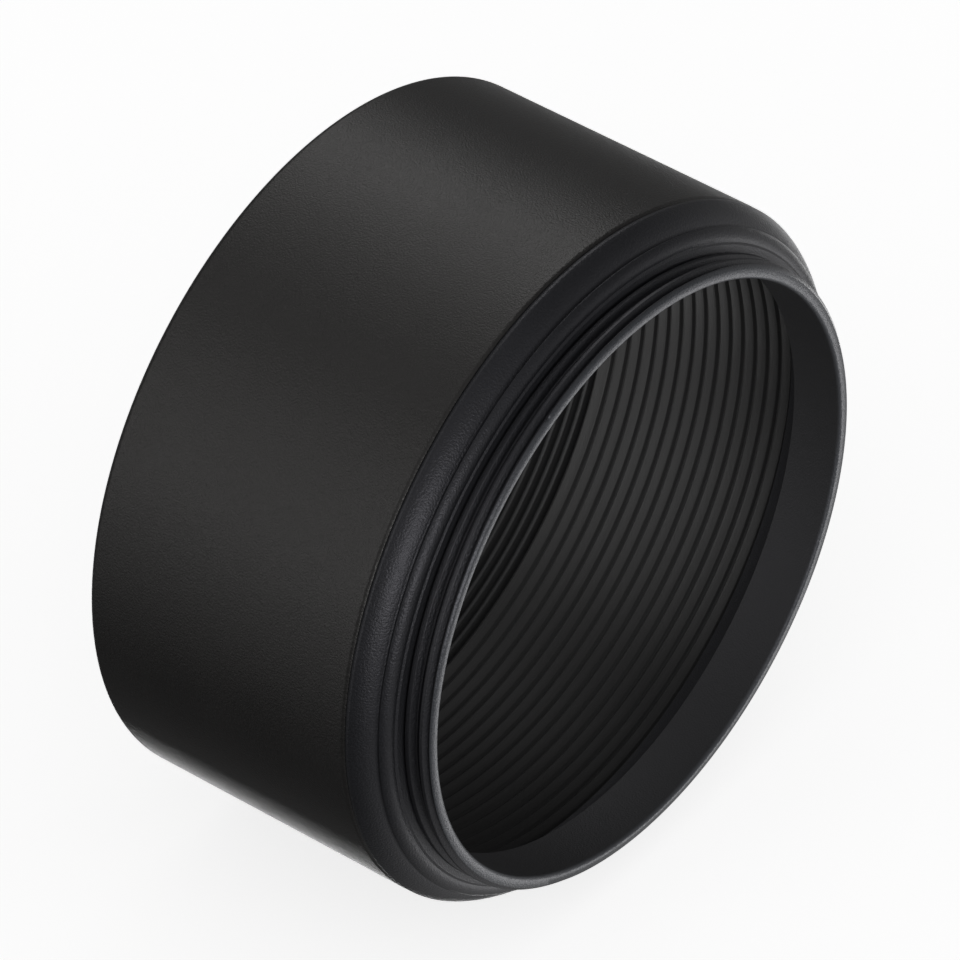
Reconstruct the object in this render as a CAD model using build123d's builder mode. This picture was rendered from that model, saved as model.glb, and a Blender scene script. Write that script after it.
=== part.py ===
from build123d import *

# Screw-in telephoto lens hood, black anodised aluminium, in four turned pieces.
#
# Millimetres, +Z up. The optical axis is the Y axis: the rear thread points to -Y and the
# open front to +Y. The origin is on the axis, in the plane of the seat that stops against
# the lens, so the male thread lies behind it and the hood in front of it.
# Profiles are drawn in the XY plane as (radius, y) and turned about the Y axis. All three
# helices are right-handed about -Y.

import os
from math import copysign, sqrt

os.makedirs("parts", exist_ok=True)

# Overall shape
barrel_radius = 24.0
front_y = 23.05
seam_y = 2.5
front_edge_round = 0.5
rear_edge_round = 0.4
rear_edge_run = 0.3
edge_break = 0.05

# Tube walls, from the outside in
barrel_bore_radius = 23.3
land_radius = 22.56
register_end_y = 3.5
liner_end_y = 18.7
joint_chamfer = 0.26

# Male lens thread, M43 x 0.75
lens_thread_radius = 21.43
lens_thread_pitch = 0.75
lens_thread_depth = 0.41
lens_thread_mouth = 0.54
lens_thread_root = 0.07
lens_thread_start_y = -0.805
lens_thread_angle_y = -1.01
lens_thread_angle = 148.0
spigot_bore_radius = 20.37
spigot_bore_end_y = 1.65
rim_y = -2.06
rim_chamfer = 0.33
rim_inner_round = 0.25
start_mark_angle = 117.0
start_mark_width = 0.12
start_mark_depth = 0.10
start_mark_length = 0.2

# Ring groove that the lens thread runs out into, and the step in front of the seat
run_out_rear_y = -1.09
run_out_front_y = -0.53
run_out_radius = 21.01
run_out_flank = 0.245
seat_step_radius = 21.12
seat_step_y = -0.23

# Seat, collar and shoulder of the mount ring, as (radius, y)
seat_outer = (21.87, 0.0)
collar_start = (21.99, 0.12)
collar_bulge = (22.58, 0.28)
collar_top = (22.88, 0.65)
crease_bottom = (22.70, 0.83)
shoulder_start = (22.92, 0.91)
shoulder_bulge = (23.62, 1.52)
shoulder_top = (23.97, 2.12)
shoulder_turn = (23.965, 2.34)

# Helical light-trap grooves in the liner
groove_pitch = 1.0
groove_mouth = 0.34
groove_root = 0.05
groove_depth = 0.16
groove_end_y = 17.8
groove_angle_y = 3.485
groove_angle = 328.0

# The liner is grooved while it is longer than needed, then faced off against the register
liner_blank_y = 2.5

# Female accessory thread at the front, M46 x 0.75
front_thread_radius = 22.594
front_thread_pitch = 0.75
front_thread_depth = 0.406
front_thread_mouth = 0.5625
front_thread_root = 0.094
front_thread_angle_y = 19.47
front_thread_angle = 328.0
front_chamfer = 0.45

# Cutters stand this far out of the wall that they cut, and run this far past its end
cutter_proud = 0.05
cutter_overrun = 0.4

shoulder_end = (
    barrel_radius - rear_edge_round + sqrt(rear_edge_round**2 - rear_edge_run**2),
    seam_y,
)


def helix_start(y, known_y, known_angle, pitch):
    """The plane of a helix's first point, turned so that the helix keeps its known angle."""
    angle = known_angle + 360 * (known_y - y) / pitch
    spoke = Vector(1, 0, 0).rotate(Axis.Y, -angle)
    return Plane(origin=(0, y, 0), x_dir=spoke, z_dir=(0, -1, 0))


def helical_cutter(start, length, pitch, radius, depth, mouth, root):
    """A trapezoid swept along a right-hand helix. A negative depth cuts towards the axis."""
    proud = -cutter_proud if depth > 0 else cutter_proud
    mouth_half = mouth / 2 + cutter_proud * (mouth - root) / 2 / abs(depth)
    with BuildPart() as cutter:
        with BuildLine():
            path = Helix(pitch, length, radius)
        with BuildSketch(Plane(origin=path @ 0, x_dir=(1, 0, 0), z_dir=path % 0)):
            with BuildLine():
                Polyline(
                    (proud, -mouth_half),
                    (depth, -root / 2),
                    (depth, root / 2),
                    (proud, mouth_half),
                    close=True,
                )
            make_face()
        sweep(path=path, is_frenet=True)
    return cutter.part.moved(start.location)


def corner_cut(radius, y, radial, axial):
    """The triangle that takes off a 45 degree corner. The signs point into the metal."""
    out = copysign(cutter_overrun, radial)
    past = copysign(cutter_overrun, axial)
    with BuildSketch(Plane.XY) as triangle:
        with BuildLine():
            Polyline(
                (radius + radial + out, y - past),
                (radius - out, y + axial + past),
                (radius - out, y - past),
                close=True,
            )
        make_face()
    return triangle.sketch


lens_thread_cutter = helical_cutter(
    helix_start(lens_thread_start_y, lens_thread_angle_y, lens_thread_angle, lens_thread_pitch),
    lens_thread_start_y - rim_y + cutter_overrun,
    lens_thread_pitch,
    lens_thread_radius,
    -lens_thread_depth,
    lens_thread_mouth,
    lens_thread_root,
)

groove_cutter = helical_cutter(
    helix_start(groove_end_y, groove_angle_y, groove_angle, groove_pitch),
    groove_end_y - register_end_y + cutter_overrun,
    groove_pitch,
    land_radius,
    groove_depth,
    groove_mouth,
    groove_root,
)

front_thread_cutter = helical_cutter(
    helix_start(
        front_y + cutter_overrun, front_thread_angle_y, front_thread_angle, front_thread_pitch
    ),
    front_y - liner_end_y + 2 * cutter_overrun,
    front_thread_pitch,
    front_thread_radius,
    front_thread_depth,
    front_thread_mouth,
    front_thread_root,
)

# Mount ring: threaded spigot, seat, collar, rounded shoulder and the register for the barrel
with BuildPart() as mount_ring:
    with BuildSketch(Plane.XY):
        with BuildLine():
            RadiusArc(
                (spigot_bore_radius, rim_y + rim_inner_round),
                (spigot_bore_radius + rim_inner_round, rim_y),
                -rim_inner_round,
            )
            Polyline(
                (spigot_bore_radius + rim_inner_round, rim_y),
                (lens_thread_radius, rim_y),
                (lens_thread_radius, run_out_rear_y),
                (run_out_radius, run_out_rear_y + run_out_flank),
                (run_out_radius, run_out_front_y - run_out_flank),
                (lens_thread_radius, run_out_front_y),
                (lens_thread_radius, seat_step_y),
                (seat_step_radius, seat_step_y),
                (seat_step_radius, 0),
                seat_outer,
                collar_start,
            )
            ThreePointArc(collar_start, collar_bulge, collar_top)
            Polyline(collar_top, crease_bottom, shoulder_start)
            ThreePointArc(shoulder_start, shoulder_bulge, shoulder_top)
            ThreePointArc(shoulder_top, shoulder_turn, shoulder_end)
            Polyline(
                shoulder_end,
                (barrel_bore_radius, seam_y),
                (barrel_bore_radius, register_end_y - edge_break),
                (barrel_bore_radius - edge_break, register_end_y),
                (land_radius, register_end_y),
                (land_radius, spigot_bore_end_y),
                (spigot_bore_radius + edge_break, spigot_bore_end_y),
                (spigot_bore_radius, spigot_bore_end_y - edge_break),
                (spigot_bore_radius, rim_y + rim_inner_round),
            )
        make_face()
    revolve(axis=Axis.Y)
    add(lens_thread_cutter, mode=Mode.SUBTRACT)
    add(corner_cut(lens_thread_radius, rim_y, -rim_chamfer, rim_chamfer))
    revolve(axis=Axis.Y, mode=Mode.SUBTRACT)
    with BuildSketch(Plane(origin=(0, rim_y, 0), x_dir=(1, 0, 0), z_dir=(0, -1, 0))):
        with PolarLocations(lens_thread_radius - start_mark_depth, 1, start_mark_angle):
            Rectangle(rim_chamfer, start_mark_width)
    extrude(amount=-start_mark_length, mode=Mode.SUBTRACT)
mount_ring.part.label = "mount_ring"

# Barrel: plain outer tube with a rounded front edge, turned down a little to meet the shoulder
with BuildPart() as hood_barrel:
    with BuildSketch(Plane.XY):
        with BuildLine():
            Polyline(
                shoulder_end,
                (barrel_bore_radius, seam_y),
                (barrel_bore_radius, front_y - edge_break),
                (barrel_bore_radius + edge_break, front_y),
                (barrel_radius - front_edge_round, front_y),
            )
            RadiusArc(
                (barrel_radius - front_edge_round, front_y),
                (barrel_radius, front_y - front_edge_round),
                front_edge_round,
            )
            Line((barrel_radius, front_y - front_edge_round), (barrel_radius, seam_y + rear_edge_run))
            RadiusArc((barrel_radius, seam_y + rear_edge_run), shoulder_end, rear_edge_round)
        make_face()
    revolve(axis=Axis.Y)
hood_barrel.part.label = "hood_barrel"

# Liner: grooved inner tube that traps stray light, held between the mount ring and front ring
with BuildPart() as baffle_liner:
    with BuildSketch(Plane.XY):
        with BuildLine():
            Polyline(
                (land_radius, liner_blank_y),
                (barrel_bore_radius, liner_blank_y),
                (barrel_bore_radius, liner_end_y),
                (land_radius, liner_end_y),
                close=True,
            )
        make_face()
    revolve(axis=Axis.Y)
    add(groove_cutter, mode=Mode.SUBTRACT)
    split(bisect_by=Plane(origin=(0, register_end_y, 0), z_dir=(0, 1, 0)), keep=Keep.TOP)
    add(corner_cut(land_radius, liner_end_y, joint_chamfer, -joint_chamfer))
    revolve(axis=Axis.Y, mode=Mode.SUBTRACT)
baffle_liner.part.label = "baffle_liner"

# Front ring: female thread for a filter or cap, fitted flush inside the barrel's mouth
with BuildPart() as front_thread_ring:
    with BuildSketch(Plane.XY):
        with BuildLine():
            Polyline(
                (front_thread_radius, liner_end_y),
                (barrel_bore_radius, liner_end_y),
                (barrel_bore_radius, front_y - edge_break),
                (barrel_bore_radius - edge_break, front_y),
                (front_thread_radius, front_y),
                close=True,
            )
        make_face()
    revolve(axis=Axis.Y)
    add(front_thread_cutter, mode=Mode.SUBTRACT)
    add(corner_cut(front_thread_radius, front_y, front_chamfer, -front_chamfer))
    add(corner_cut(front_thread_radius, liner_end_y, joint_chamfer, joint_chamfer))
    revolve(axis=Axis.Y, mode=Mode.SUBTRACT)
front_thread_ring.part.label = "front_thread_ring"

for piece in (mount_ring, hood_barrel, baffle_liner, front_thread_ring):
    export_step(piece.part, f"parts/{piece.part.label}.step")
    print(piece.part.label, len(piece.part.solids()), round(piece.part.volume, 2), piece.part.is_valid)
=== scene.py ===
"""Looks of the screw-in lens hood: four turned, black anodised pieces on a pale floor.

Metres, in the row frame: the optical axis is Y, the lens thread points to -Y, +Z is up.
Each CAD node is replaced by a finer mesh of the same outline and the same helices.
"""

import math

import bmesh
import bpy
import numpy as np
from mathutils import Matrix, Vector


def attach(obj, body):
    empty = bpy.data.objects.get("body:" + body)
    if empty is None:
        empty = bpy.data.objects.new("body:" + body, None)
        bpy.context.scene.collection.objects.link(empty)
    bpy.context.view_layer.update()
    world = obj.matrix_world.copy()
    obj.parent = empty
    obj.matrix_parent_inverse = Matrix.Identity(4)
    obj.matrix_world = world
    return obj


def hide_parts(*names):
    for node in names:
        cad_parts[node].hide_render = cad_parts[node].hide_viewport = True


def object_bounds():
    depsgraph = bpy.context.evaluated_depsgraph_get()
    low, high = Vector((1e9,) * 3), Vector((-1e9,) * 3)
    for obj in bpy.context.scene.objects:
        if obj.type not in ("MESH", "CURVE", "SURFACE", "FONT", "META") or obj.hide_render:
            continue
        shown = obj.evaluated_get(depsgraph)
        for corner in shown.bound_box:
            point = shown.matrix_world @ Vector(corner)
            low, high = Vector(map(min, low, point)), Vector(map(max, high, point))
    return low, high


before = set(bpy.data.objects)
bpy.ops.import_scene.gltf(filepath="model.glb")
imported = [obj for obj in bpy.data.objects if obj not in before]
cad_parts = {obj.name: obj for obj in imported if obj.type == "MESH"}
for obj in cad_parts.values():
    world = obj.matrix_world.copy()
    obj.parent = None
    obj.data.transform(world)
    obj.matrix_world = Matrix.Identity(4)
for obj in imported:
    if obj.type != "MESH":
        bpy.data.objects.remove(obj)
cad_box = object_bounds()

MM = 0.001

# Points closer than this, in metres, become one
WELD = 2e-7

# Weight of the weighted normals, 1 to 100: over 50, large faces count for more
NORMAL_WEIGHT = 80

# Outline sizes in millimetres, the same as the CAD part's
BARREL_R = 24.0
FRONT_Y = 23.05
SEAM_Y = 2.5
FRONT_ROUND = 0.5
REAR_ROUND = 0.4
REAR_RUN = 0.3
EDGE_BREAK = 0.05
BARREL_BORE_R = 23.3
LAND_R = 22.56
REGISTER_END_Y = 3.5
LINER_END_Y = 18.7
JOINT_CHAMFER = 0.26
SPIGOT_BORE_R = 20.37
SPIGOT_BORE_END_Y = 1.65
RIM_Y = -2.06
RIM_CHAMFER = 0.33
RIM_INNER_ROUND = 0.25
FRONT_CHAMFER = 0.45
LENS_THREAD_R = 21.43
LENS_THREAD_START_Y = -0.805
FRONT_THREAD_R = 22.594
GROOVE_END_Y = 17.8
MARK_ANGLE = 117.0
MARK_WIDTH = 0.12
MARK_DEPTH = 0.265
MARK_LENGTH = 0.2
SEAT_STEP_R = 21.12
SEAT_STEP_Y = -0.23

# Sharp corners of the mount ring's outline are cut by this much. A corner wider than SMOOTH_TURN
# degrees is a step of an arc and stays.
STEP_BREAK = 0.02
SMOOTH_TURN = 160

# Seat, collar and shoulder of the mount ring, as (r, y)
SEAT_OUTER = (21.87, 0.0)
COLLAR = ((21.99, 0.12), (22.58, 0.28), (22.88, 0.65))
CREASE_BOTTOM = (22.70, 0.83)
SHOULDER = ((22.92, 0.91), (23.62, 1.52), (23.97, 2.12))
SHOULDER_TURN = (23.965, 2.34)
SHOULDER_END = (BARREL_R - REAR_ROUND + math.sqrt(REAR_ROUND**2 - REAR_RUN**2), SEAM_Y)

# Each helix: pitch, depth, mouth and root widths, and the height y of one groove at an angle
LENS_HELIX = dict(pitch=0.75, depth=0.41, mouth=0.54, root=0.07, y=-1.01, angle=148.0)
GROOVE_HELIX = dict(pitch=1.0, depth=0.16, mouth=0.34, root=0.05, y=3.485, angle=328.0)
FRONT_HELIX = dict(pitch=0.75, depth=0.406, mouth=0.5625, root=0.094, y=19.47, angle=328.0)

# A groove's corners are softened by this much to each side, and it runs out over this height
CORNER_SOFTENING = 0.025
RUN_OUT = 0.02

# The ring groove that the lens thread runs out into, and the row spacing that shows it
RUN_OUT_RING = dict(depth=0.42, mouth=0.56, root=0.07, y=-0.81)
FINE_ROW = 0.025

# One column of points a degree, and a few more for the sides of the thread's start mark
MARK_HALF = math.degrees(MARK_WIDTH / 2 / LENS_THREAD_R)
MARK_EDGE = 0.02
ANGLES = np.radians(np.sort(np.concatenate([
    np.linspace(0, 360, 361),
    MARK_ANGLE + np.array([-1, -1, 1, 1]) * MARK_HALF + np.array([-1, 1, -1, 1]) * MARK_EDGE,
])))


def arc(centre, radius, start, end, steps):
    """Points (r, y) on an arc, angles in degrees from the +r direction towards +y."""
    angles = np.radians(np.linspace(start, end, steps + 1))
    return [(centre[0] + radius * math.cos(a), centre[1] + radius * math.sin(a)) for a in angles]


def arc_through(a, b, c, steps):
    """Points on the arc from a through b to c."""
    (ax, ay), (bx, by), (cx, cy) = a, b, c
    a2, b2, c2 = ax**2 + ay**2, bx**2 + by**2, cx**2 + cy**2
    d = 2 * (ax * (by - cy) + bx * (cy - ay) + cx * (ay - by))
    x = (a2 * (by - cy) + b2 * (cy - ay) + c2 * (ay - by)) / d
    y = (a2 * (cx - bx) + b2 * (ax - cx) + c2 * (bx - ax)) / d
    start, end = (math.degrees(math.atan2(p[1] - y, p[0] - x)) for p in (a, c))
    return arc((x, y), math.hypot(ax - x, ay - y), start, end, steps)


def groove_centre(helix):
    """Height of one groove's centre at each angle. The helices are right-handed about -Y."""
    return helix["y"] + helix["pitch"] * (helix["angle"] - np.degrees(ANGLES)) / 360


def groove_depth(groove, offset):
    """Depth at an offset from a groove's centre: a trapezoid with softened corners."""
    mouth, root = groove["mouth"] / 2, groove["root"] / 2
    shifts = np.linspace(-1, 1, 9) * CORNER_SOFTENING
    total = 0
    for shift in shifts:
        total = total + np.clip((mouth - np.abs(offset + shift)) / (mouth - root), 0, 1)
    return groove["depth"] * total / len(shifts)


def groove_rows(helix, spacing=None):
    """Row offsets over one pitch that follow every corner of the groove, and an even spacing."""
    half, mouth, root = helix["pitch"] / 2, helix["mouth"] / 2, helix["root"] / 2
    around = np.array([-1.0, -0.35, 0.35, 1.0]) * CORNER_SOFTENING
    corners = [c + around for c in (-mouth, -root, root, mouth)]
    even = np.arange(-half, half, spacing) if spacing else [-half]
    return np.sort(np.concatenate([even, *corners]))


def helical_wall(helix, radius, low, high, outward, end_y, envelope, ring=None):
    """Rows (r, y) of a grooved wall from low to high. outward is +1 for a bore and -1 for a spigot.
    The groove runs out where its centre reaches end_y, and a ring groove may meet it there."""
    pitch, centre = helix["pitch"], groove_centre(helix)
    first = math.floor((low - centre.max()) / pitch) - 1
    last = math.ceil((high - centre.min()) / pitch) + 1
    offsets = groove_rows(helix, FINE_ROW if ring else None)
    rows = np.concatenate([n * pitch + offsets for n in range(first, last + 1)])
    y = np.clip(rows[:, None] + centre[None, :], low, high)
    turn = np.round((y - centre[None, :]) / pitch)
    this_centre = centre[None, :] + turn * pitch
    run_out = np.clip((end_y - this_centre) / RUN_OUT, 0, 1)
    depth = groove_depth(helix, y - this_centre) * run_out
    if ring:
        depth = np.maximum(depth, groove_depth(ring, y - ring["y"]))
    return envelope(radius + outward * depth, y), y


def eased(points, size=STEP_BREAK):
    """Points (r, y) with each sharp corner between the ends cut by a small flat."""
    out = [points[0]]
    for before, here, after in zip(points, points[1:], points[2:]):
        arm_in = Vector(before) - Vector(here)
        arm_out = Vector(after) - Vector(here)
        turn = math.degrees(arm_in.angle(arm_out))
        if turn > SMOOTH_TURN:
            out.append(here)
            continue
        for arm in (arm_in, arm_out):
            out.append(tuple(Vector(here) + arm.normalized() * min(size, arm.length / 3)))
    return out + [points[-1]]


def plain_rows(points):
    """Rows for points (r, y) that are the same at every angle."""
    r, y = np.array(points).T
    ones = np.ones(len(ANGLES))
    return np.outer(r, ones), np.outer(y, ones)


def join(*parts):
    """The rows of several parts, one after another."""
    return np.concatenate([p[0] for p in parts]), np.concatenate([p[1] for p in parts])


def turned(name, radii, heights):
    """A closed ring from rows of (r, y) around its section, with a column for each angle."""
    rows, columns = radii.shape
    points = np.stack([radii * np.cos(ANGLES), heights, radii * np.sin(ANGLES)], -1)
    points = points.transpose(1, 0, 2).reshape(-1, 3) * MM
    faces = []
    for c in range(columns - 1):
        for k in range(rows):
            n = (k + 1) % rows
            faces.append((c * rows + k, c * rows + n, (c + 1) * rows + n, (c + 1) * rows + k))
    mesh = bpy.data.meshes.new(name)
    mesh.from_pydata(points.tolist(), [], faces)
    bm = bmesh.new()
    bm.from_mesh(mesh)
    bmesh.ops.remove_doubles(bm, verts=bm.verts, dist=WELD)
    bmesh.ops.dissolve_degenerate(bm, edges=bm.edges, dist=WELD)
    bmesh.ops.recalc_face_normals(bm, faces=bm.faces)
    bm.to_mesh(mesh)
    bm.free()
    mesh.shade_smooth()
    piece = bpy.data.objects.new(name, mesh)
    bpy.context.scene.collection.objects.link(piece)
    weighted = piece.modifiers.new("weighted_normals", "WEIGHTED_NORMAL")
    weighted.weight = NORMAL_WEIGHT
    return piece


def mount_ring():
    """Threaded spigot, seat, collar, rounded shoulder and the register for the barrel."""
    outside = (
        [(LENS_THREAD_R - STEP_BREAK, SEAT_STEP_Y), (SEAT_STEP_R, SEAT_STEP_Y), (SEAT_STEP_R, 0.0)]
        + [SEAT_OUTER] + arc_through(*COLLAR, 16)
        + [CREASE_BOTTOM] + arc_through(*SHOULDER, 24)
        + arc_through(SHOULDER[-1], SHOULDER_TURN, SHOULDER_END, 8)[1:]
    )
    inside = [
        (BARREL_BORE_R, SEAM_Y),
        (BARREL_BORE_R, REGISTER_END_Y - EDGE_BREAK),
        (BARREL_BORE_R - EDGE_BREAK, REGISTER_END_Y),
        (LAND_R, REGISTER_END_Y),
        (LAND_R, SPIGOT_BORE_END_Y),
        (SPIGOT_BORE_R + EDGE_BREAK, SPIGOT_BORE_END_Y),
        (SPIGOT_BORE_R, SPIGOT_BORE_END_Y - EDGE_BREAK),
    ]
    round_centre = (SPIGOT_BORE_R + RIM_INNER_ROUND, RIM_Y + RIM_INNER_ROUND)
    rim = arc(round_centre, RIM_INNER_ROUND, 180, 270, 8)

    def envelope(r, y):
        chamfered = np.minimum(r, LENS_THREAD_R - RIM_CHAMFER + (y - RIM_Y))
        in_mark = np.abs(np.degrees(ANGLES) - MARK_ANGLE)[None, :] < MARK_HALF
        in_mark = in_mark & (y < RIM_Y + MARK_LENGTH)
        return np.where(in_mark, np.minimum(chamfered, LENS_THREAD_R - MARK_DEPTH), chamfered)

    thread = helical_wall(
        LENS_HELIX, LENS_THREAD_R, RIM_Y, SEAT_STEP_Y - STEP_BREAK, -1, LENS_THREAD_START_Y,
        envelope, RUN_OUT_RING,
    )
    return join(thread, plain_rows(eased(outside) + inside + rim))


def hood_barrel():
    """Plain tube with a rounded front edge, turned down a little to meet the shoulder."""
    rear_start = -math.degrees(math.asin(REAR_RUN / REAR_ROUND))
    rear = arc((BARREL_R - REAR_ROUND, SEAM_Y + REAR_RUN), REAR_ROUND, rear_start, 0, 6)
    front = arc((BARREL_R - FRONT_ROUND, FRONT_Y - FRONT_ROUND), FRONT_ROUND, 0, 90, 12)
    inside = [
        (BARREL_BORE_R + EDGE_BREAK, FRONT_Y),
        (BARREL_BORE_R, FRONT_Y - EDGE_BREAK),
        (BARREL_BORE_R, SEAM_Y),
    ]
    return plain_rows(rear + front + inside)


def baffle_liner():
    """Inner tube with a fine helical groove that traps stray light."""
    wall = helical_wall(
        GROOVE_HELIX, LAND_R, REGISTER_END_Y, LINER_END_Y - JOINT_CHAMFER, 1, GROOVE_END_Y,
        lambda r, y: r,
    )
    outside = [
        (LAND_R + JOINT_CHAMFER, LINER_END_Y),
        (BARREL_BORE_R, LINER_END_Y),
        (BARREL_BORE_R, REGISTER_END_Y),
    ]
    return join(wall, plain_rows(outside))


def front_thread_ring():
    """Female accessory thread, fitted flush in the barrel's mouth."""
    def envelope(r, y):
        front = FRONT_THREAD_R + FRONT_CHAMFER - (FRONT_Y - y)
        rear = FRONT_THREAD_R + JOINT_CHAMFER - (y - LINER_END_Y)
        return np.maximum(r, np.maximum(front, rear))

    wall = helical_wall(
        FRONT_HELIX, FRONT_THREAD_R, LINER_END_Y, FRONT_Y, 1, FRONT_Y + FRONT_HELIX["pitch"], envelope
    )
    outside = [
        (BARREL_BORE_R - EDGE_BREAK, FRONT_Y),
        (BARREL_BORE_R, FRONT_Y - EDGE_BREAK),
        (BARREL_BORE_R, LINER_END_Y),
    ]
    return join(wall, plain_rows(outside))


def computed(tree, operation, a, b):
    """The result of a math node in a node tree. a and b are each a number or a socket."""
    node = tree.nodes.new("ShaderNodeMath")
    node.operation = operation
    for socket, value in zip(node.inputs, (a, b)):
        if isinstance(value, (int, float)):
            socket.default_value = value
        else:
            tree.links.new(value, socket)
    return node.outputs[0]


class Shading:
    """A material's nodes, with short ways to make the ones that repeat."""

    def __init__(self, name):
        self.material = bpy.data.materials.new(name)
        self.material.use_nodes = True
        self.tree = self.material.node_tree
        self.nodes = self.tree.nodes
        self.links = self.tree.links
        self.shader = self.nodes["Principled BSDF"]
        self.place = self.nodes.new("ShaderNodeTexCoord").outputs["Object"]

    def noise(self, size, detail=2.0, stretch=(1, 1, 1)):
        """Noise with features of a size in metres, drawn out along each axis by stretch."""
        mapping = self.nodes.new("ShaderNodeMapping")
        mapping.inputs["Scale"].default_value = [1 / (size * s) for s in stretch]
        self.links.new(self.place, mapping.inputs["Vector"])
        noise = self.nodes.new("ShaderNodeTexNoise")
        noise.inputs["Scale"].default_value = 1.0
        noise.inputs["Detail"].default_value = detail
        self.links.new(mapping.outputs["Vector"], noise.inputs["Vector"])
        return noise.outputs["Fac"]

    def spread(self, value, low, high, to_low, to_high):
        """The value mapped from low..high to to_low..to_high, and held at the ends."""
        node = self.nodes.new("ShaderNodeMapRange")
        for name, number in (
            ("From Min", low), ("From Max", high), ("To Min", to_low), ("To Max", to_high)
        ):
            node.inputs[name].default_value = number
        self.links.new(value, node.inputs["Value"])
        return node.outputs["Result"]

    def combine(self, operation, a, b):
        """The result of a math node. a and b are each a number or a socket."""
        return computed(self.tree, operation, a, b)

    def blend(self, factor, a, b):
        """Colour a where the factor is 0, and b where it is 1. Each is a colour or a socket."""
        node = self.nodes.new("ShaderNodeMix")
        node.data_type = "RGBA"
        self.links.new(factor, node.inputs[0])
        for socket, value in ((node.inputs[6], a), (node.inputs[7], b)):
            if isinstance(value, tuple):
                socket.default_value = (*value, 1)
            else:
                self.links.new(value, socket)
        return node.outputs[2]

    def bump(self, height, distance, strength):
        """The surface raised by up to a distance in metres where the height is 1."""
        node = self.nodes.new("ShaderNodeBump")
        node.inputs["Distance"].default_value = distance
        node.inputs["Strength"].default_value = strength
        self.links.new(height, node.inputs["Height"])
        self.links.new(node.outputs["Normal"], self.shader.inputs["Normal"])

    def height_along_axis(self):
        """The place's y in metres."""
        split = self.nodes.new("ShaderNodeSeparateXYZ")
        self.links.new(self.place, split.inputs[0])
        return split.outputs["Y"]

    def distance_from_axis(self):
        """The place's distance from the y axis in metres."""
        flat = self.nodes.new("ShaderNodeVectorMath")
        flat.operation = "MULTIPLY"
        flat.inputs[1].default_value = (1, 0, 1)
        self.links.new(self.place, flat.inputs[0])
        length = self.nodes.new("ShaderNodeVectorMath")
        length.operation = "LENGTH"
        self.links.new(flat.outputs[0], length.inputs[0])
        return length.outputs["Value"]


def shades(colour):
    """A colour's darkest and lightest shades on one piece."""
    return [tuple(c * factor for c in colour) for factor in (0.7, 1.3)]


# Sizes of the finish's features in metres: blasted pits, cloudiness and turned rings
GRAIN = 0.00013
CLOUD = 0.006
TOOL_MARK = 0.00009

# Bump height as a share of a feature's size, and the middle of a noise's range that is used
BUMP_SHARE = 0.3
NOISE_LOW, NOISE_HIGH = 0.3, 0.7

# How much of the tone each noise makes
PIT_SHARE, CLOUD_SHARE = 0.7, 0.3
RING_SHARE, TRACE_SHARE = 0.6, 0.4

# How far the roughness goes to either side of its middle
BLASTED_VARIATION = 0.05
TURNED_VARIATION = 0.06

# A turned ring's noise is drawn out this much across the axis
RING_STRETCH = (400, 1, 400)


def anodised(name, colour, roughness, grain, tint, rim=None, bore=None):
    """Blasted black anodising: fine pits and a little cloudiness. The mount ring has a lighter rim,
    partly wear and partly a painted reflection, and a duller bore whose lighter colour is painted
    light."""
    s = Shading(name)
    pits = s.noise(GRAIN)
    cloud = s.noise(CLOUD, 3.0)
    tone = s.combine(
        "ADD",
        s.spread(pits, NOISE_LOW, NOISE_HIGH, 0, PIT_SHARE),
        s.spread(cloud, NOISE_LOW, NOISE_HIGH, 0, CLOUD_SHARE),
    )
    shade = s.blend(tone, *shades(colour))
    gloss = s.spread(tone, 0, 1, roughness - BLASTED_VARIATION, roughness + BLASTED_VARIATION)
    s.shader.inputs["Specular Tint"].default_value = (*tint, 1)
    # The bore's lighter colour is painted fill light; its higher roughness is the duller turned
    # finish
    if bore:
        inside = s.spread(s.distance_from_axis(), *bore["between"], 1, 0)
        shade = s.blend(inside, shade, bore["colour"])
        dull = s.combine("MULTIPLY", inside, bore["roughness"] - roughness)
        gloss = s.combine("ADD", gloss, dull)
    # The rim's lighter, bluish colour is partly wear and partly a painted reflection
    if rim:
        edge = s.spread(s.height_along_axis(), *rim["between"], 1, 0)
        wear_and_sheen = s.combine("MULTIPLY", edge, s.spread(pits, *rim["pits"], rim["least_wear_and_sheen"], 1))
        shade = s.blend(wear_and_sheen, shade, rim["colour"])
        smooth = s.combine("MULTIPLY", edge, rim["roughness"] - roughness)
        gloss = s.combine("ADD", gloss, smooth)
    s.links.new(shade, s.shader.inputs["Base Color"])
    s.links.new(gloss, s.shader.inputs["Roughness"])
    s.bump(pits, GRAIN * BUMP_SHARE, grain)
    return s.material


def turned_black(name, colour, roughness, marks):
    """Dull black anodising over fine turned rings, with a trace of grain."""
    s = Shading(name)
    rings = s.noise(TOOL_MARK, 1.0, RING_STRETCH)
    pits = s.noise(GRAIN)
    both = s.combine(
        "ADD",
        s.combine("MULTIPLY", rings, RING_SHARE),
        s.combine("MULTIPLY", pits, TRACE_SHARE),
    )
    tone = s.spread(both, NOISE_LOW, NOISE_HIGH, 0, 1)
    gloss = s.spread(tone, 0, 1, roughness - TURNED_VARIATION, roughness + TURNED_VARIATION)
    s.links.new(s.blend(tone, *shades(colour)), s.shader.inputs["Base Color"])
    s.links.new(gloss, s.shader.inputs["Roughness"])
    s.bump(both, TOOL_MARK * BUMP_SHARE, marks)
    return s.material


# Heights in metres between which the rim's wear and painted reflection fade, and how the pits break
# them up. The lighter, bluish colour is partly wear and partly a painted reflection
RIM_WEAR_AND_SHEEN = dict(
    between=(-0.00203, -0.00180),
    colour=(0.052, 0.056, 0.062),
    roughness=0.28,
    pits=(0.3, 0.6),
    least_wear_and_sheen=0.75,
)

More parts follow.
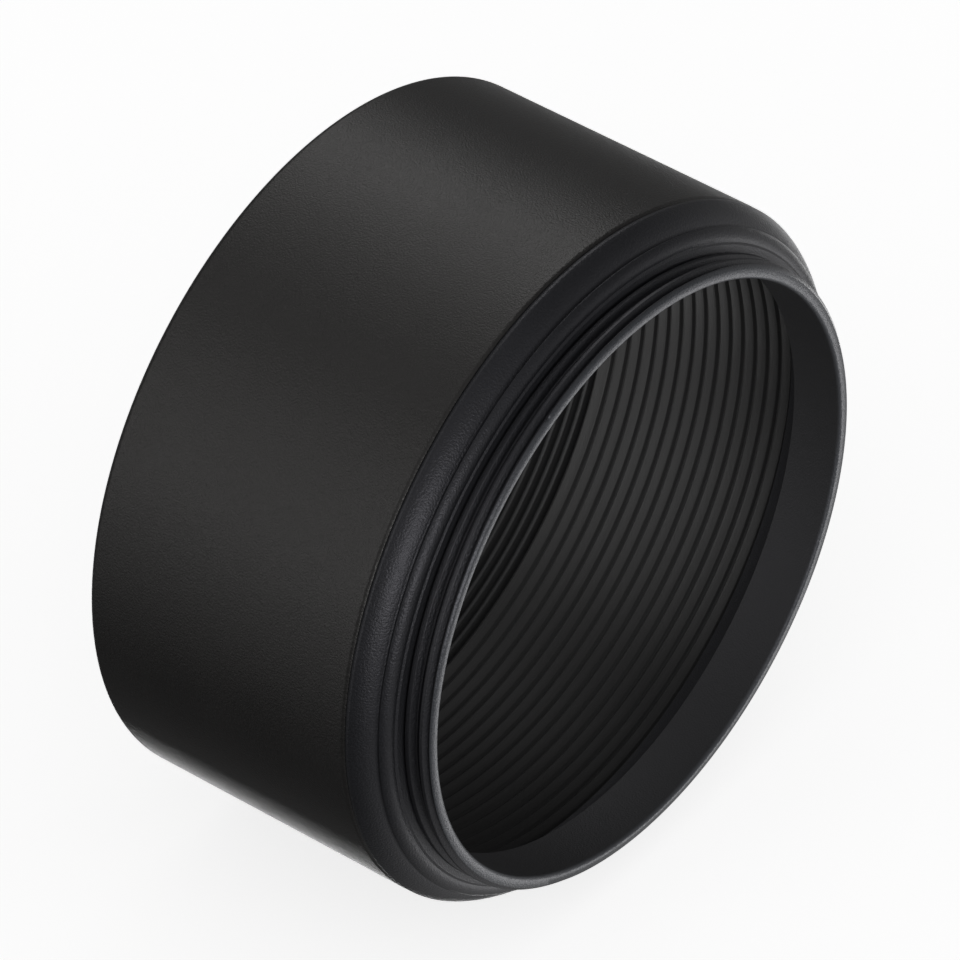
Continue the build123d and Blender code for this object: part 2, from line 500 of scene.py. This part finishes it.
# Distances from the axis in metres between which the bore's duller finish and painted light fade. Its
# lighter colour is painted fill light; its higher roughness is the duller turned finish
BORE_FINISH_AND_PAINTED_LIGHT = dict(between=(0.02048, 0.02056), colour=(0.036, 0.036, 0.037), roughness=0.52)

# Tints of the reflections
WARM = (1.0, 0.98, 0.965)
COOL = (0.93, 0.92, 1.0)

# Each node's shape, record slot and material
PIECES = {
    "mount_ring": (
        mount_ring, "anodised_shoulder",
        anodised("shoulder_black", (0.0090, 0.0094, 0.0110), 0.40, 0.9, COOL, RIM_WEAR_AND_SHEEN, BORE_FINISH_AND_PAINTED_LIGHT),
    ),
    "hood_barrel": (
        hood_barrel, "anodised_barrel",
        anodised("barrel_black", (0.0098, 0.0092, 0.0090), 0.37, 0.9, WARM),
    ),
    "baffle_liner": (
        baffle_liner, "light_trap",
        turned_black("liner_black", (0.0210, 0.0206, 0.0208), 0.52, 0.6),
    ),
    "front_thread_ring": (
        front_thread_ring, "anodised_front",
        turned_black("front_black", (0.0300, 0.0300, 0.0310), 0.58, 0.6),
    ),
}
pieces = {}
for node, (make, slot, material) in PIECES.items():
    piece = turned(node + "_metal", *make())
    piece.data.materials.append(material)
    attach(piece, "root")
    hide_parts(node)
    pieces[node] = piece

# Floor: pale, evenly lit like a light table, and left out of the hood's own light and reflections
FLOOR_REACH = 1.5
FLOOR_GLOW = 0.78
FLOOR_COLOUR = (0.9, 0.9, 0.9)
FLOOR_ROUGHNESS = 0.9
floor_z = cad_box[0].z
signs = ((-1, -1), (1, -1), (1, 1), (-1, 1))
corners = [(x * FLOOR_REACH, y * FLOOR_REACH, floor_z) for x, y in signs]
floor_mesh = bpy.data.meshes.new("floor")
floor_mesh.from_pydata(corners, [], [(0, 1, 2, 3)])
floor = bpy.data.objects.new("floor", floor_mesh)
bpy.context.scene.collection.objects.link(floor)
floor_material = bpy.data.materials.new("pale_floor")
floor_material.use_nodes = True
floor_shader = floor_material.node_tree.nodes["Principled BSDF"]
floor_shader.inputs["Base Color"].default_value = (*FLOOR_COLOUR, 1)
floor_shader.inputs["Roughness"].default_value = FLOOR_ROUGHNESS
floor_shader.inputs["Emission Color"].default_value = (1, 1, 1, 1)
floor_shader.inputs["Emission Strength"].default_value = FLOOR_GLOW
floor.data.materials.append(floor_material)
floor.visible_glossy = floor.visible_diffuse = floor.visible_shadow = False

# Studio light: round lights far away, and soft glows all round.
# The outside and the inside have their own side lights, as if the hood stood on its open end.
GROUPS = {
    "outside": ("mount_ring", "hood_barrel"),
    "inside": ("baffle_liner", "front_thread_ring"),
}
receivers = {}
for group, nodes in GROUPS.items():
    receivers[group] = bpy.data.collections.new(group)
    for node in nodes:
        receivers[group].objects.link(pieces[node])


def round_light(name, direction, power, spread, group):
    """A white round light far away in a direction, spread degrees wide, with a power in W/m2.
    It lights one group of pieces only."""
    light = bpy.data.lights.new(name, "SUN")
    light.energy = power
    light.angle = math.radians(spread)
    lamp = bpy.data.objects.new(name, light)
    bpy.context.scene.collection.objects.link(lamp)
    lamp.rotation_mode = "QUATERNION"
    lamp.rotation_quaternion = Vector(direction).to_track_quat("Z", "Y")
    lamp.light_linking.receiver_collection = receivers[group]


def surroundings(glows):
    """A world of soft round white glows, each a (direction, radiance)."""
    world = bpy.data.worlds.new("studio")
    world.use_nodes = True
    tree = world.node_tree
    nodes, links = tree.nodes, tree.links
    nodes.clear()
    way = nodes.new("ShaderNodeVectorMath")
    way.operation = "NORMALIZE"
    links.new(nodes.new("ShaderNodeTexCoord").outputs["Generated"], way.inputs[0])

    last = None
    for direction, radiance in glows:
        along = nodes.new("ShaderNodeVectorMath")
        along.operation = "DOT_PRODUCT"
        along.inputs[1].default_value = Vector(direction).normalized()
        links.new(way.outputs[0], along.inputs[0])
        away = computed(tree, "SUBTRACT", along.outputs["Value"], 1.0)
        fall = computed(tree, "EXPONENT", computed(tree, "MULTIPLY", away, 1 / GLOW_WIDTH**2), 0.0)
        glow = nodes.new("ShaderNodeBackground")
        glow.inputs["Color"].default_value = (1, 1, 1, 1)
        links.new(computed(tree, "MULTIPLY", fall, radiance), glow.inputs["Strength"])
        if last:
            both = nodes.new("ShaderNodeAddShader")
            links.new(last, both.inputs[0])
            links.new(glow.outputs[0], both.inputs[1])
            last = both.outputs[0]
        else:
            last = glow.outputs[0]
    links.new(last, nodes.new("ShaderNodeOutputWorld").inputs["Surface"])
    bpy.context.scene.world = world


# The powers and radiances below were solved by another program, which fitted the photograph's
# brightness by least squares. They are rounded, and some were changed.
# name, direction, power, spread, group
SIDE_LIGHTS = (
    ("high_right", (0.55, 0.49, 0.68), 0.38, 30, "outside"),
    ("high", (0.13, 0.49, 0.86), 0.19, 30, "outside"),
    ("high_left", (-0.32, 0.49, 0.81), 0.07, 30, "outside"),
    ("upper_left", (-0.68, 0.49, 0.55), 0.22, 30, "outside"),
    ("left", (-0.86, 0.49, 0.13), 0.27, 30, "outside"),
    ("lower_left", (-0.81, 0.49, -0.32), 0.09, 30, "outside"),
    ("under", (0.53, 0.49, -0.69), 0.42, 24, "outside"),
    ("behind", (0.80, 0.28, -0.53), 0.25, 24, "outside"),
    ("front_left", (-0.52, -0.85, 0.07), 0.78, 24, "outside"),
    ("front_under", (0.60, -0.49, -0.63), 0.24, 24, "outside"),
    ("inner_right", (0.83, 0.49, -0.28), 1.50, 30, "inside"),
    ("inner_high", (0.20, 0.49, 0.85), 0.12, 30, "inside"),
    ("inner_upper_left", (-0.68, 0.49, 0.55), 0.32, 30, "inside"),
    ("inner_left", (-0.86, 0.49, 0.13), 0.44, 30, "inside"),
    ("inner_lower_left", (-0.81, 0.32, -0.32), 0.32, 30, "inside"),
    ("inner_low", (-0.42, 0.49, -0.77), 0.40, 30, "inside"),
    ("inner_under", (0.30, 0.49, -0.75), 0.30, 30, "inside"),
)

# direction, radiance
GLOW_WIDTH = 0.5
GLOWS = (
    ((0.60, -0.49, -0.63), 0.74),
    ((-0.60, -0.49, 0.63), 0.46),
    ((-1, 0, 0), 0.07),
    ((1, 0, 0), 0.13),
    ((0, 1, 0), 0.19),
    ((0, 0, 1), 0.13),
    ((0, -1, 0), 0.25),
)
for side_light in SIDE_LIGHTS:
    round_light(*side_light)
surroundings(GLOWS)
bpy.context.scene.view_settings.view_transform = "Standard"

# Camera at the photograph's viewing angle
AZIMUTH = math.radians(-51.26)
ELEVATION = math.radians(39.12)
AIM = Vector((0.001364, 0.012153, 0.0))
DISTANCE = 0.582894
LENS_MM = 345.02
SENSOR_MM = 36
back = Vector((
    math.sin(AZIMUTH) * math.cos(ELEVATION),
    -math.cos(AZIMUTH) * math.cos(ELEVATION),
    math.sin(ELEVATION),
))
camera = bpy.data.objects.new("camera", bpy.data.cameras.new("camera"))
bpy.context.scene.collection.objects.link(camera)
camera.data.sensor_width = SENSOR_MM
camera.data.lens = LENS_MM
camera.data.clip_start = 0.01
camera.data.clip_end = 10
camera.location = AIM + back * DISTANCE
camera.rotation_mode = "QUATERNION"
camera.rotation_quaternion = back.to_track_quat("Z", "Y")
bpy.context.scene.camera = camera
